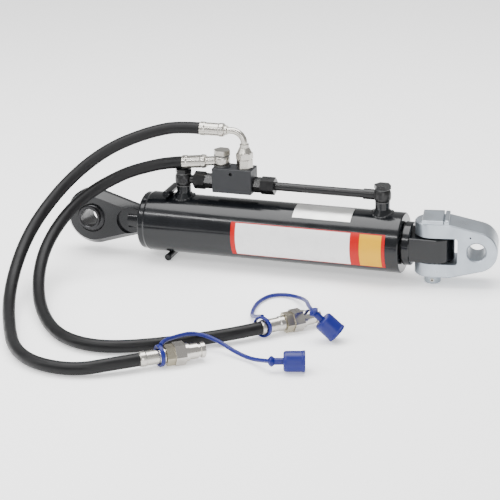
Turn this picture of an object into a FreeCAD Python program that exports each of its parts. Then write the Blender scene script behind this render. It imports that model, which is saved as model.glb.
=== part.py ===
"""Hydraulic tractor top link with a double pilot check valve and two quick-coupler hoses.

Frame: the origin is the centre of the ball in the eye, +X runs along the cylinder towards the
fork, +Z is up, and -Y is the side on which the hoses lie. Lengths are in millimetres.
"""
import FreeCAD, Part
import math
import os
import re

import Sketcher

Vector = FreeCAD.Vector
Rotation = FreeCAD.Rotation
Placement = FreeCAD.Placement

os.makedirs("parts", exist_ok=True)
doc = FreeCAD.newDocument("tractor_top_link")

# --- driving dimensions -------------------------------------------------------------------
SIZES = {
    # cylinder barrel
    "tube_bore_r": 35.0, "tube_wall": 7.5, "tube_length": 360.0, "bevel": 3.0, "bead_rise": 0.8,
    "cap_face_x": 79.0, "cap_rim": 9.0, "cap_spigot": 42.0, "cap_round": 4.0, "plug_fit": 0.03,
    # eye end and ball
    "eye_r": 41.5, "eye_width": 31.0, "eye_draft_in": 8.5, "eye_draft_along": 12.0, "neck_half": 19.0,
    "ball_r": 25.0, "running_fit": 0.05, "ball_width": 51.0, "collar_r": 16.5, "pin_bore_r": 12.7,
    "bore_chamfer": 1.0, "mouth_chamfer": 1.2, "ball_tilt": -8.0,
    "scallop_r": 19.0, "scallop_x": 58.5, "scallop_depth": 4.5, "stub_r": 15.0, "stub_x": 56.0,
    # ports, banjos and hanger bars
    "base_port_on": 51.0, "rod_port_back": 17.5, "boss_r": 10.3, "boss_rise": 14.5, "flare_r": 18.0,
    "flare_sink": 4.5, "flare_rise": 5.0, "port_r": 4.0, "bolt_r": 6.5, "thread_fit": 0.03,
    "washer_t": 1.5, "washer_r": 10.2, "ring_height": 16.5, "ring_r": 10.8, "ring_bulge": 1.3,
    "bolt_hex": 21.0, "bolt_head": 5.5, "bolt_drill_r": 3.0, "socket_r": 7.4, "rod_socket": 26.5,
    "base_socket": 14.0, "bar_r": 5.25, "bar_length": 42.0, "bar_x": 118.5, "bar_end": 1.2,
    # pipe line and its screwed ends
    "pipe_r": 6.0, "pipe_bore_r": 4.5, "pipe_seat": 5.0, "nut_hex": 22.0, "nut_base": 16.0, "nut_rod": 19.5,
    "adapter_hex": 19.5, "hex_base": 14.0, "hex_rod": 11.5, "adapter_tail": 8.0,
    "adapter_thread_r": 8.0, "adapter_thread": 8.5, "pipe_step": 7.0, "olive_t": 2.5,
    "chamber_r": 5.0, "chamber": 14.5, "throat_r": 3.0,
    # valve block
    "block_x": 215.5, "block_length": 58.0, "block_width": 30.0, "block_height": 35.5,
    "block_gap": 12.5, "block_edge": 0.8, "main_bore_r": 7.0, "base_hose_x": 197.5, "rod_hose_x": 231.0,
    "top_thread_r": 6.5, "top_thread_depth": 9.0, "cross_drill_r": 2.8, "gauge_hole_r": 2.4,
    "gauge_hole_x": 1.3, "gauge_hole_up": 28.5, "gauge_hole_depth": 6.0,
    "seat_t": 3.0, "seat_bore_r": 2.6, "poppet_r": 4.93, "poppet_length": 5.5, "poppet_gap": 1.8,
    "poppet_nose": 1.4, "poppet_tip_r": 0.8, "spring_outer_r": 4.5, "spring_inner_r": 3.1,
    "pilot_length": 13.0, "pilot_nose_r": 1.8,
    "pilot_nose": 4.5,
    # gland and its seals
    "gland_flange": 14.0, "gland_fit": 10.0, "gland_nose": 20.0, "gland_nose_r": 30.0,
    "gland_edge": 1.5, "ring_groove": 3.6, "ring_depth": 2.6, "wiper_t": 6.0, "wiper_r": 24.5,
    "seal_t": 8.0, "seal_r": 25.0, "guide_t": 12.0, "guide_r": 22.5, "seal_lip": 0.4,
    # piston and rod
    "piston_gap": 19.5, "piston_length": 48.0, "piston_spigot_r": 13.5, "piston_nut_hex": 41.0,
    "piston_nut_t": 14.0, "rod_r": 20.0, "rod_tail": 2.0, "piston_seal_t": 9.0,
    "piston_seal_depth": 5.0, "piston_band_t": 8.0, "piston_band_depth": 2.5,
    # rod end and its pin
    "rest_gap": 1.0, "neck_r": 30.5, "neck_length": 12.0, "tongue_reach": 27.6,
    "tongue_half_width": 28.0, "tongue_end_r": 30.0, "tongue_height": 34.0, "tongue_edge": 1.0,
    "stem_r": 12.5, "stem_depth": 12.0, "bush_r": 14.5, "pin_r": 11.5,
    # fork
    "fork_turn": 9.5, "fork_reach": 60.5, "fork_width": 50.0, "fork_end_r": 29.0,
    "fork_half_height": 38.5, "fork_edge": 1.6, "shoulder_x": 24.0, "slot_half_height": 19.0,
    "slot_end": 34.5, "slot_round": 4.0, "lip_x": 16.0, "lip_t": 6.5, "lip_height": 5.5,
    "lip_round": 2.4, "grease_hole_r": 1.3, "grease_hole_x": 52.0, "grease_hole_z": 21.0,
    "grease_hole_depth": 8.0, "head_length": 29.0, "head_width": 48.0, "head_height": 5.5,
    "head_edge": 1.0, "pin_edge": 1.5, "floor_z": -53.0, "roll_pin_r": 2.5, "roll_pin_bore_r": 1.3,
    "roll_pin_length": 26.0, "roll_pin_z": -46.5,
    # hose ends at the valve block
    "hose_r": 8.5, "hose_bore_r": 5.0, "ferrule_r": 9.8, "ferrule_length": 36.0,
    "silver_washer_t": 2.5, "silver_upper_t": 1.5, "silver_washer_r": 12.2, "silver_ring_height": 13.0, "silver_ring_r": 11.3,
    "silver_hex": 21.0, "silver_head": 7.0, "stem_end_r": 6.6, "stem_length": 23.2, "stem_rise": 8.0, "stem_dip": 6.9,
    "tee_hex": 20.0, "tee_height": 13.5, "tee_spigot_r": 7.0, "swivel_hex": 21.0, "swivel_flat": 8.0, "swivel_cone": 8.0,
    "swivel_neck_r": 7.2, "elbow_r": 4.7, "elbow_bend": 18.0, "elbow_collar_r": 6.6,
    "elbow_collar": 5.0, "elbow_rise": 52.7, "elbow_run": 6.5, "elbow_shoulder": 4.0,
    # quick couplers
    "tail_length": 34.0, "tail_nut_hex": 24.0, "tail_nut": 11.0, "body_hex": 27.0, "body_hex_t": 14.0,
    "body_collar_r": 11.8, "body_collar": 5.0, "nose_r": 10.25, "nose_length": 22.0,
    "nose_groove_r": 8.6, "nose_groove": 4.0, "nose_rim": 6.0, "nose_bore_r": 7.0, "valve_stem_r": 2.5,
    "valve_head_r": 6.6, "valve_head": 4.0, "valve_seat": 3.0, "valve_travel": 5.0,
    "body_bore_r": 6.8, "guide_web": 3.0, "coupler_fit": 0.05, "coupler_spring_wire": 1.1,
    "coupler_1_x": 220.0, "coupler_1_y": -396.5, "coupler_1_turn": 38.0,
    "coupler_2_x": 334.5, "coupler_2_y": -257.0, "coupler_2_turn": 46.0,
    "coupler_1_rise": 0.0, "coupler_2_rise": 0.0,
    # dust caps and their tethers
    "cap_r": 13.2, "cap_length": 27.0, "cap_wall": 1.8, "cap_end_t": 3.0, "cap_knob_r": 7.0,
    "cap_knob": 19.0, "cap_neck_r": 4.4, "cap_1_x": 395.4, "cap_1_y": -354.2, "cap_1_turn": 15.6, "cap_1_z": -39.0,
    "cap_2_x": 413.5, "cap_2_y": -244.0, "cap_2_z": -24.8, "cap_2_dip": 43.0, "cap_2_turn": 8.0,
    "stem_tip_r": 1.2, "tether_r": 2.7, "loop_gap": 0.2,
    "loop_1_at": 27.0, "loop_2_at": 3.0, "loop_lean": 24.0,
}

# sizes that follow from those above
FOLLOWING = {
    "tube_outer_r": "tube_bore_r + tube_wall",
    "boss_top": "tube_outer_r + boss_rise",
    "flare_foot": "tube_outer_r - flare_sink",
    "flare_top": "tube_outer_r + flare_rise",
    "block_foot": "tube_outer_r + block_gap",
    "gauge_hole_z": "block_foot + gauge_hole_up",
    "stem_z": "block_foot + block_height + stem_rise",
    "elbow_axis_z": "block_foot + block_height + elbow_rise",
    "base_port_x": "cap_face_x + cap_rim + base_port_on",
    "rod_port_x": "cap_face_x + cap_rim + tube_length - rod_port_back",
}

sheet = doc.addObject("Spreadsheet::Sheet", "Sizes")
for row, (alias, value) in enumerate({**SIZES, **FOLLOWING}.items(), start=1):
    sheet.set(f"A{row}", alias)
    sheet.set(f"B{row}", str(value) if alias in SIZES else "=" + value)
    sheet.setAlias(f"B{row}", alias)
doc.recompute()
SIZES.update({alias: float(sheet.get(alias)) for alias in FOLLOWING})

WORD = re.compile(r"[a-z]\w*")


def number(text):
    """The value of a sum of named sizes, such as "cap_face_x + cap_rim"."""
    plain = WORD.sub(lambda word: repr(SIZES[word.group()]), text)
    return FreeCAD.Units.Quantity(plain).Value


def linked(text):
    """The same sum as an expression on the sheet."""
    return WORD.sub(lambda word: "Sizes." + word.group(), text)


def minus(text):
    return f"-({text})"


# --- places along the cylinder ------------------------------------------------------------
TUBE_LEFT = "cap_face_x + cap_rim"
TUBE_RIGHT = "cap_face_x + cap_rim + tube_length"
GLAND_FACE = TUBE_RIGHT + " + gland_flange"
NECK_FACE = GLAND_FACE + " + rest_gap"
PIN_X = NECK_FACE + " + neck_length + tongue_reach"
PISTON_X = TUBE_LEFT + " + cap_spigot + piston_gap"
RING_Z = "boss_top + washer_t + ring_height/2"
PIPE_Z = RING_Z
BLOCK_TOP = "block_foot + block_height"
BLOCK_LEFT = "block_x - block_length/2"
BLOCK_RIGHT = "block_x + block_length/2"
RUN = "(running_fit)"

finished = {}


def keep(label, item):
    """Put a finished sub-part on the list that is exported."""
    item.Label = label
    finished[label] = item
    return item


def place(item, x="0", y="0", z="0", turn=None):
    """Place a sub-part; its three coordinates stay linked to the sheet."""
    item.Placement = Placement(Vector(number(x), number(y), number(z)), turn or Rotation())
    for axis, text in zip("xyz", (x, y, z)):
        item.setExpression(f"Placement.Base.{axis}", linked(text))
    return item


# --- sketches ------------------------------------------------------------------------------
def new_body(label):
    return keep(label, doc.addObject("PartDesign::Body", label))


def new_sketch(body, role, lift="0"):
    """A sketch on one of the body's own origin planes, lifted along the plane's normal."""
    sketch = body.newObject("Sketcher::SketchObject", body.Name + "_sketch")
    flat = next(item for item in body.Origin.OriginFeatures if item.Role == role)
    sketch.AttachmentSupport = [(flat, "")]
    sketch.MapMode = "FlatFace"
    if lift != "0":
        sketch.AttachmentOffset = Placement(Vector(0, 0, number(lift)), Rotation())
        sketch.setExpression("AttachmentOffset.Base.z", linked(lift))
    return sketch


def pin_point(sketch, edge, end, x, y):
    """Fix one end of a sketch edge at a linked place."""
    for kind, text, axis in (("DistanceX", x, -2), ("DistanceY", y, -1)):
        if text is None:
            continue
        if text == "0":
            sketch.addConstraint(Sketcher.Constraint("PointOnObject", edge, end, axis))
        else:
            row = sketch.addConstraint(Sketcher.Constraint(kind, -1, 1, edge, end, number(text)))
            sketch.setExpression(f"Constraints[{row}]", linked(text))


def polygon(sketch, corners):
    """A closed outline of straight edges through linked corners."""
    points = [Vector(number(x), number(y), 0) for x, y in corners]
    first = sketch.GeometryCount
    count = len(points)
    for i in range(count):
        sketch.addGeometry(Part.LineSegment(points[i], points[(i + 1) % count]), False)
    for i in range(count):
        sketch.addConstraint(Sketcher.Constraint("Coincident", first + i, 2, first + (i + 1) % count, 1))
    for i, (x, y) in enumerate(corners):
        pin_point(sketch, first + i, 1, x, y)
    return sketch


def circle(sketch, radius, x="0", y="0"):
    centre = Vector(number(x), number(y), 0)
    edge = sketch.addGeometry(Part.Circle(centre, Vector(0, 0, 1), number(radius)), False)
    pin_point(sketch, edge, 3, x, y)
    row = sketch.addConstraint(Sketcher.Constraint("Radius", edge, number(radius)))
    sketch.setExpression(f"Constraints[{row}]", linked(radius))
    return sketch


def arc_edge(sketch, radius, start_deg, end_deg, x="0", y="0"):
    """An arc round a linked centre; its ends are fixed afterwards."""
    round_edge = Part.Circle(Vector(number(x), number(y), 0), Vector(0, 0, 1), number(radius))
    span = Part.ArcOfCircle(round_edge, math.radians(start_deg), math.radians(end_deg))
    edge = sketch.addGeometry(span, False)
    pin_point(sketch, edge, 3, x, y)
    row = sketch.addConstraint(Sketcher.Constraint("Radius", edge, number(radius)))
    sketch.setExpression(f"Constraints[{row}]", linked(radius))
    return edge


def line_edge(sketch, start, end):
    return sketch.addGeometry(Part.LineSegment(Vector(*start, 0), Vector(*end, 0)), False)


def join(sketch, edge_a, end_a, edge_b, end_b, kind="Coincident"):
    sketch.addConstraint(Sketcher.Constraint(kind, edge_a, end_a, edge_b, end_b))


def hexagon(across):
    """Corners of a hexagon with flats up and down, measured across the flats."""
    half, quarter, side = f"({across})*0.57735", f"({across})*0.288675", f"({across})*0.5"
    return [(half, "0"), (quarter, side), (minus(quarter), side), (minus(half), "0"),
            (minus(quarter), minus(side)), (quarter, minus(side))]


# --- features ------------------------------------------------------------------------------
def feature(body, kind, sketch, **settings):
    item = body.newObject("PartDesign::" + kind, body.Name + "_" + kind.lower())
    item.Profile = sketch
    for name, value in settings.items():
        if isinstance(value, str) and name.startswith("Length"):
            setattr(item, name, number(value))
            item.setExpression(name, linked(value))
        else:
            setattr(item, name, value)
    body.Tip = item
    doc.recompute()
    return item


def spin(body, sketch, axis="H_Axis", kind="Revolution", angle=360.0):
    return feature(body, kind, sketch, ReferenceAxis=(sketch, [axis]), Angle=angle)


def pad(body, sketch, length, midplane=False, reverse=False):
    side = "Symmetric" if midplane else "One side"
    return feature(body, "Pad", sketch, SideType=side, Length=length, Reversed=reverse)


def cut(body, sketch, length, midplane=False, reverse=False):
    """A pocket that must take material away."""
    before = body.Shape.Volume
    side = "Symmetric" if midplane else "One side"
    item = feature(body, "Pocket", sketch, SideType=side, Length=length, Reversed=reverse)
    if body.Shape.Volume > before - 1e-3:
        item.Reversed = not reverse
        doc.recompute()
    if body.Shape.Volume > before - 1e-3:
        raise ValueError(f"{body.Label}: a pocket cuts nothing")
    return item


def edges_where(shape, test):
    return [f"Edge{i}" for i, edge in enumerate(shape.Edges, start=1) if test(edge)]


def dress(body, kind, size, test, **settings):
    """A fillet or chamfer on the edges that pass a test."""
    base = body.Tip
    names = edges_where(base.Shape, test)
    if not names:
        raise ValueError(f"{body.Label}: no edge to {kind}")
    item = body.newObject("PartDesign::" + kind, body.Name + "_" + kind.lower())
    item.Base = (base, names)
    field = "Radius" if kind == "Fillet" else "Size"
    setattr(item, field, number(size))
    item.setExpression(field, linked(size))
    for name, value in settings.items():
        setattr(item, name, value)
    body.Tip = item
    doc.recompute()
    return item


def turned(label, corners, axis="X", kind_angle=360.0):
    """A body turned from one profile of (along, radius) corners about X, Y or Z."""
    body = new_body(label)
    role = "XY_Plane" if axis == "Y" else "XZ_Plane"
    if axis != "X":
        corners = [(radius, along) for along, radius in corners]
    sketch = polygon(new_sketch(body, role), corners)
    spin(body, sketch, "H_Axis" if axis == "X" else "V_Axis", angle=kind_angle)
    return body


def ring(label, start, end, inner, outer, axis="X"):
    """A plain ring between two places on its axis."""
    return turned(label, [(start, inner), (end, inner), (end, outer), (start, outer)], axis)


def group(label, members):
    """Like pieces that share one node as separate solids."""
    bundle = doc.addObject("Part::Compound", label)
    bundle.Links = members
    for member in members:
        finished.pop(member.Label)
    doc.recompute()
    return keep(label, bundle)


def at_radius(edge, radius, tolerance=0.01):
    curve = edge.Curve
    return hasattr(curve, "Radius") and abs(curve.Radius - radius) < tolerance


# --- barrel: tube, base cap, eye and hanger bars ----------------------------------------------
tube = turned("cylinder_tube", [
    (TUBE_LEFT, "tube_bore_r"), (TUBE_RIGHT, "tube_bore_r"),
    (TUBE_RIGHT, "tube_outer_r"), (TUBE_LEFT + " + bevel", "tube_outer_r"),
    (TUBE_LEFT, "tube_outer_r - bevel/2")])
port_hole = circle(new_sketch(tube, "XY_Plane"), "port_r", "base_port_x")
circle(port_hole, "port_r", "rod_port_x")
cut(tube, port_hole, "tube_outer_r*1.2", reverse=True)

base_cap = turned("base_cap", [
    ("cap_face_x", "0"), (TUBE_LEFT + " + cap_spigot", "0"),
    (TUBE_LEFT + " + cap_spigot", "tube_bore_r - plug_fit"), (TUBE_LEFT, "tube_bore_r - plug_fit"),
    (TUBE_LEFT, "tube_outer_r - bevel/2"), ("cap_face_x", "tube_outer_r - bevel/2")])
dress(base_cap, "Fillet", "cap_round",
      lambda edge: at_radius(edge, number("tube_outer_r - bevel/2"))
      and abs(edge.BoundBox.XMax - number("cap_face_x")) < 0.01)

# The eye is a drafted forging: a round head and a tapering neck of the same eight-sided section.
DRAFT_Y = "eye_width/2 - eye_draft_along"
eye = new_body("eye_housing")
head = new_sketch(eye, "XY_Plane")
polygon(head, [("0", minus("eye_width/2")), ("eye_r - eye_draft_in", minus("eye_width/2")),
               ("eye_r", minus(DRAFT_Y)), ("eye_r", DRAFT_Y),
               ("eye_r - eye_draft_in", "eye_width/2"), ("0", "eye_width/2")])
spin(eye, head, "V_Axis")


def eye_section(lift, tall):
    """The eight-sided neck section at one place along X."""
    low = f"{tall} - eye_draft_in*0.97"
    half, land = "eye_width/2", DRAFT_Y
    return polygon(new_sketch(eye, "YZ_Plane", lift), [
        (half, low), (land, tall), (minus(land), tall), (minus(half), low),
        (minus(half), minus(low)), (minus(land), minus(tall)), (land, minus(tall)), (half, minus(low))])


neck = eye.newObject("PartDesign::AdditiveLoft", "eye_neck")
neck.Profile = eye_section("eye_r*0.3", "eye_r*0.95")
neck.Sections = [eye_section("cap_face_x", "neck_half")]
neck.Ruled = True
eye.Tip = neck
doc.recompute()
for side in (1, -1):
    scallop = new_sketch(eye, "XZ_Plane", "eye_width/2" if side > 0 else minus("eye_width/2"))
    x, r, far = number("scallop_x"), number("scallop_r"), number("cap_face_x + bevel")
    bend = arc_edge(scallop, "scallop_r", 90, 270, "scallop_x")
    top = line_edge(scallop, (x, r), (far, r))
    back = line_edge(scallop, (far, r), (far, -r))
    low = line_edge(scallop, (far, -r), (x, -r))
    join(scallop, bend, 1, top, 1)
    join(scallop, top, 2, back, 1)
    join(scallop, back, 2, low, 1)
    join(scallop, low, 2, bend, 2)
    pin_point(scallop, top, 1, "scallop_x", None)
    pin_point(scallop, low, 2, "scallop_x", None)
    pin_point(scallop, back, 1, "cap_face_x + bevel", "scallop_r")
    pin_point(scallop, back, 2, "cap_face_x + bevel", minus("scallop_r"))
    cut(eye, scallop, "scallop_depth", reverse=side < 0)
stub = polygon(new_sketch(eye, "XZ_Plane"), [("stub_x", "0"), ("cap_face_x", "0"),
                                             ("cap_face_x", "stub_r"), ("stub_x", "stub_r")])
spin(eye, stub)
socket = new_sketch(eye, "XY_Plane")
bowl = arc_edge(socket, "ball_r + running_fit", -90, 90)
bowl_r = number("ball_r + running_fit")
axis_line = line_edge(socket, (0, bowl_r), (0, -bowl_r))
join(socket, bowl, 2, axis_line, 1)
join(socket, axis_line, 2, bowl, 1)
pin_point(socket, axis_line, 1, "0", None)
pin_point(socket, axis_line, 2, "0", None)
spin(eye, socket, "V_Axis", "Groove")
mouth_r = math.sqrt(bowl_r ** 2 - number("eye_width/2") ** 2)
dress(eye, "Chamfer", "mouth_chamfer", lambda edge: at_radius(edge, mouth_r))

ball = new_body("eye_ball")
outline = new_sketch(ball, "XY_Plane")
waist = math.sqrt(number("ball_r") ** 2 - number("collar_r") ** 2)
angle = math.degrees(math.asin(waist / number("ball_r")))
crown = arc_edge(outline, "ball_r", -angle, angle)
half_w, collar, bore = number("ball_width/2"), number("collar_r"), number("pin_bore_r")
up = line_edge(outline, (collar, waist), (collar, half_w))
over = line_edge(outline, (collar, half_w), (bore, half_w))
inside = line_edge(outline, (bore, half_w), (bore, -half_w))
under = line_edge(outline, (bore, -half_w), (collar, -half_w))
down = line_edge(outline, (collar, -half_w), (collar, -waist))
for first, second in ((up, over), (over, inside), (inside, under), (under, down)):
    join(outline, first, 2, second, 1)
join(outline, crown, 2, up, 1)
join(outline, down, 2, crown, 1)
pin_point(outline, up, 1, "collar_r", None)
pin_point(outline, over, 1, "collar_r", "ball_width/2")
pin_point(outline, inside, 1, "pin_bore_r", "ball_width/2")
pin_point(outline, inside, 2, "pin_bore_r", minus("ball_width/2"))
pin_point(outline, under, 2, "collar_r", minus("ball_width/2"))
pin_point(outline, down, 2, "collar_r", None)
spin(ball, outline, "V_Axis")
dress(ball, "Chamfer", "bore_chamfer", lambda edge: at_radius(edge, bore))
place(ball, turn=Rotation(Vector(1, 0, 0), SIZES["ball_tilt"]))

bars = []
for name, sign in (("hanger_bar_top", 1), ("hanger_bar_bottom", -1)):
    bar = turned(name, [
        (minus("bar_length/2"), "0"), (minus("bar_length/2"), "bar_r - bar_end"),
        (minus("bar_length/2 - bar_end"), "bar_r"), ("bar_length/2 - bar_end", "bar_r"),
        ("bar_length/2", "bar_r - bar_end"), ("bar_length/2", "0")], "Y")
    height = "tube_outer_r + bar_r"
    bars.append(place(bar, "bar_x", "0", height if sign > 0 else minus(height)))
group("hanger_bars", bars)

# --- ports: welded bosses and the black banjo fittings ----------------------------------------
bosses = []
for name, port_x in (("port_boss_base", "base_port_x"), ("port_boss_rod", "rod_port_x")):
    blank = turned(name + "_blank", [
        ("flare_foot - bevel", "port_r"), ("flare_foot - bevel", "flare_r"), ("flare_foot", "flare_r"),
        ("flare_top", "boss_r"), ("boss_top", "boss_r"), ("boss_top", "bolt_r + thread_fit"),
        ("tube_outer_r + bevel", "bolt_r + thread_fit"), ("tube_outer_r + bevel", "port_r")], "Z")
    place(blank, port_x)
    saddle = doc.addObject("Part::Cylinder", name + "_saddle")
    saddle.setExpression("Radius", linked("tube_outer_r + plug_fit"))
    saddle.setExpression("Height", linked("flare_r*4"))
    place(saddle, port_x + " - flare_r*2", turn=Rotation(Vector(0, 1, 0), 90))
    boss = doc.addObject("Part::Cut", name)
    boss.Base = blank
    boss.Tool = saddle
    finished.pop(name + "_blank")
    doc.recompute()
    bosses.append(keep(name, boss))
group("port_bosses", bosses)

RING_FOOT = "boss_top + washer_t"
RING_TOP = "boss_top + washer_t + ring_height"
HEAD_FOOT = "boss_top + washer_t*2 + ring_height"
washers = []
for name, port_x in (("base", "base_port_x"), ("rod", "rod_port_x")):
    for level, foot in (("lower", "boss_top"), ("upper", RING_TOP)):
        washer = ring(f"washer_{name}_{level}", foot, foot + " + washer_t",
                      "bolt_r + thread_fit", "washer_r", "Z")
        washers.append(place(washer, port_x))
group("banjo_washers", washers)


def banjo_bolt(label, foot, head_foot, across, head_height, gallery, x):
    """A hollow hexagon-head bolt, cross-drilled and waisted inside the banjo ring."""
    bolt = turned(label, [
        (foot, "bolt_drill_r"), (foot, "bolt_r"), (f"{gallery} - bolt_r/2", "bolt_r"),
        (f"{gallery} - bolt_r/2", "bolt_r - 1"), (f"{gallery} + bolt_r/2", "bolt_r - 1"),
        (f"{gallery} + bolt_r/2", "bolt_r"), (head_foot, "bolt_r"),
        (head_foot, "0"), (gallery, "0"), (gallery, "bolt_drill_r")], "Z")
    crown_sketch = polygon(new_sketch(bolt, "XY_Plane", head_foot), hexagon(across))
    pad(bolt, crown_sketch, head_height)
    drill = circle(new_sketch(bolt, "XZ_Plane"), "bolt_drill_r - 1", "0", gallery)
    cut(bolt, drill, "bolt_r*4", midplane=True)
    return place(bolt, x)


bolts = [banjo_bolt(f"banjo_bolt_{name}", "tube_outer_r + bevel + 1", HEAD_FOOT, "bolt_hex",
                    "bolt_head", RING_Z, port_x)
         for name, port_x in (("base", "base_port_x"), ("rod", "rod_port_x"))]
group("banjo_bolts", bolts)


def banjo(label, height, radius):
    """A barrel-shaped banjo ring before its pipe socket is added; local z = 0 is its middle."""
    rise = [("0.5", "0 - 0.6"), ("0.46", "0"), ("0.34", "ring_bulge*0.6"), ("0.2", "ring_bulge")]
    lower = [(minus(f"{height}*{share}"), f"{radius} + {swell}") for share, swell in rise]
    upper = [(f"{height}*{share}", f"{radius} + {swell}") for share, swell in reversed(rise)]
    return turned(label, [(minus(f"{height}/2"), "0")] + lower + upper + [(f"{height}/2", "0")], "Z")


def banjo_bore(body, height, hole_r):
    """The bolt hole and the oil gallery round it."""
    cut(body, circle(new_sketch(body, "XY_Plane"), hole_r), f"{height}*2", midplane=True)
    gallery = polygon(new_sketch(body, "XZ_Plane"), [
        (f"{hole_r} - 1", minus(f"{height}/5")), (f"{hole_r} + 1.2", minus(f"{height}/5")),
        (f"{hole_r} + 1.2", f"{height}/5"), (f"{hole_r} - 1", f"{height}/5")])
    spin(body, gallery, "V_Axis", "Groove")


RING_T = "ring_height"
for label, port_x, reach, sign in (("banjo_base", "base_port_x", "base_socket", 1),
                                   ("banjo_rod", "rod_port_x", "rod_socket", -1)):
    fitting = banjo(label, RING_T, "ring_r")
    if sign < 0:
        pad(fitting, circle(new_sketch(fitting, "YZ_Plane"), "socket_r"), reach, reverse=True)
    seat = reach + " - pipe_seat" if sign > 0 else minus(reach + " - pipe_seat*2")
    banjo_bore(fitting, RING_T, "bolt_r + thread_fit")
    cut(fitting, circle(new_sketch(fitting, "YZ_Plane", seat), "pipe_r + plug_fit"),
        "pipe_seat*3", reverse=sign > 0)
    drill_length = seat.replace("-(", "(") if sign < 0 else seat
    cut(fitting, circle(new_sketch(fitting, "YZ_Plane"), "pipe_bore_r"), drill_length, reverse=sign > 0)
    place(fitting, port_x, "0", RING_Z)

# --- pipe line: two pipes, their nuts, olives and the block adapters ---------------------------
THREAD_END = {"base": f"{BLOCK_LEFT} - hex_base - adapter_thread",
              "rod": f"{BLOCK_RIGHT} + hex_rod + adapter_thread"}


def along(side, inner):
    """A place beside the block: distance outwards from its face at the base or rod side."""
    return f"{BLOCK_LEFT} - ({inner})" if side == "base" else f"{BLOCK_RIGHT} + ({inner})"


PIPE_ENDS = {"base": ("base_port_x + base_socket - pipe_seat", THREAD_END["base"] + " + pipe_step"),
             "rod": (THREAD_END["rod"] + " - pipe_step", "rod_port_x - rod_socket + pipe_seat*2")}
for side in ("base", "rod"):
    start, end = PIPE_ENDS[side]
    place(ring(f"pipe_{side}", start, end, "pipe_bore_r", "pipe_r"), z=RING_Z)

adapters, nuts, olives = [], [], []
for side in ("base", "rod"):
    hex_t, nut_length = f"hex_{side}", f"nut_{side}"
    lip = f"{hex_t} + adapter_thread"
    body = turned(f"adapter_{side}", [
        (along(side, "0 - adapter_tail"), "chamber_r"),
        (along(side, "chamber - adapter_tail"), "chamber_r"),
        (along(side, "chamber - adapter_tail"), "throat_r"),
        (along(side, f"{lip} - pipe_step"), "throat_r"),
        (along(side, f"{lip} - pipe_step"), "pipe_r + plug_fit"),
        (along(side, lip), "pipe_r + plug_fit"),
        (along(side, lip), "adapter_thread_r"), (along(side, hex_t), "adapter_thread_r"),
        (along(side, hex_t), "adapter_thread_r + 1"), (along(side, "0"), "adapter_thread_r + 1"),
        (along(side, "0"), "adapter_thread_r - thread_fit"),
        (along(side, "0 - adapter_tail"), "adapter_thread_r - thread_fit")])
    crown_sketch = polygon(new_sketch(body, "YZ_Plane", along(side, hex_t)), hexagon("adapter_hex"))
    circle(crown_sketch, "adapter_thread_r + 0.5")
    pad(body, crown_sketch, hex_t, reverse=side == "rod")
    adapters.append(place(body, z=RING_Z))
    reach = f"{hex_t} + {nut_length}"
    nut = turned(f"tube_nut_{side}", [
        (along(side, reach), "pipe_r + plug_fit"), (along(side, f"{lip} + olive_t"), "pipe_r + plug_fit"),
        (along(side, f"{lip} + olive_t"), "adapter_thread_r + thread_fit"),
        (along(side, hex_t), "adapter_thread_r + thread_fit"), (along(side, hex_t), "nut_hex/2"),
        (along(side, reach), "nut_hex/2 - 1")])
    flats = polygon(new_sketch(nut, "YZ_Plane", along(side, reach) if side == "base" else
                               along(side, hex_t)), hexagon("nut_hex"))
    circle(flats, "adapter_thread_r + 0.5")
    pad(nut, flats, nut_length)
    corner = number("nut_hex*0.57735")
    nuts.append(place(nut, z=RING_Z, turn=Rotation(Vector(1, 0, 0), 15)))
    olive = turned(f"olive_{side}", [
        (along(side, f"{lip} + olive_t - 0.1"), "pipe_r + 0.03"), (along(side, f"{lip} + 0.1"), "pipe_r + 0.03"),
        (along(side, f"{lip} + 0.1"), "adapter_thread_r - 0.6"),
        (along(side, f"{lip} + olive_t - 0.1"), "adapter_thread_r - 1.2")])
    olives.append(place(olive, z=RING_Z))
group("block_adapters", adapters)
group("tube_nuts", nuts)
group("cutting_rings", olives)

# --- valve block and its check valves -----------------------------------------------------------
block = new_body("valve_block")
polygon(new_sketch(block, "XZ_Plane"), [(BLOCK_LEFT, "block_foot"), (BLOCK_RIGHT, "block_foot"),
                                        (BLOCK_RIGHT, BLOCK_TOP), (BLOCK_LEFT, BLOCK_TOP)])
pad(block, block.Group[-1], "block_width", midplane=True)
dress(block, "Chamfer", "block_edge", lambda edge: True)
cut(block, circle(new_sketch(block, "YZ_Plane", BLOCK_LEFT + " - 5"), "main_bore_r", "0", RING_Z),
    "block_length + 10", reverse=True)
for side in ("base", "rod"):
    cut(block, circle(new_sketch(block, "YZ_Plane", along(side, "0 - adapter_tail")), "adapter_thread_r",
                      "0", RING_Z), "adapter_tail*2", reverse=side == "rod")
for hose_x in ("base_hose_x", "rod_hose_x"):
    cut(block, circle(new_sketch(block, "XY_Plane", BLOCK_TOP + " - top_thread_depth"),
                      "top_thread_r + thread_fit", hose_x), "top_thread_depth*2", reverse=True)
    cut(block, circle(new_sketch(block, "XY_Plane", BLOCK_TOP), "cross_drill_r", hose_x),
        BLOCK_TOP + " - (" + RING_Z + ")")
cut(block, circle(new_sketch(block, "XZ_Plane", "block_width/2"), "gauge_hole_r",
                  "block_x - gauge_hole_x", "gauge_hole_z"), "gauge_hole_depth")

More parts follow.
